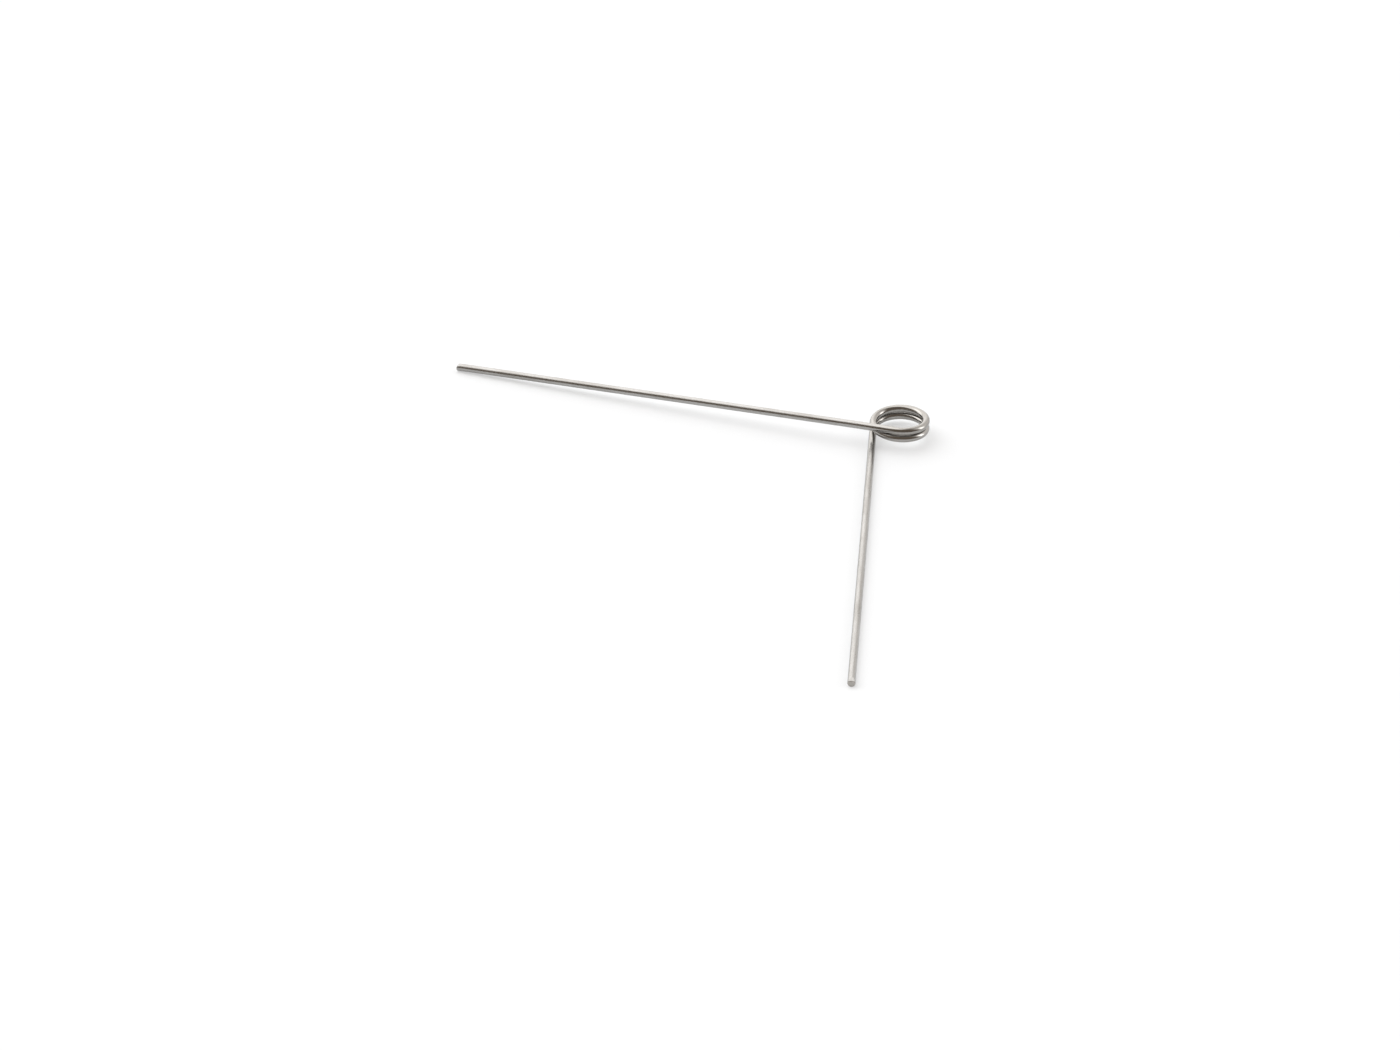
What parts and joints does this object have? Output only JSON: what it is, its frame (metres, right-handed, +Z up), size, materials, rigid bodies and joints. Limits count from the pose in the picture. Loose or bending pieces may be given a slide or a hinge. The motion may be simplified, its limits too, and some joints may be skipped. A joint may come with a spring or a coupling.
{
  "type": "torsion spring",
  "caption": "Left-hand torsion spring of round steel wire: a short open coil with a long straight leg out of each end, the legs crossing just outside the coil.",
  "frame": {"origin": "on the coil's axis, in the plane of the surface that the spring lies on", "axes": "+Z up along the coil's axis; the upper leg runs towards -X, and the lower leg runs towards -Y and a little towards +X"},
  "size_m": [0.0732, 0.0644, 0.0032],
  "materials": {
    "spring_wire": "bright drawn spring wire with faint lengthwise die lines, cropped ends left as cut"
  },
  "bodies": {
    "root": {"torsion_spring": "spring_wire"}
  },
  "joints": []
}
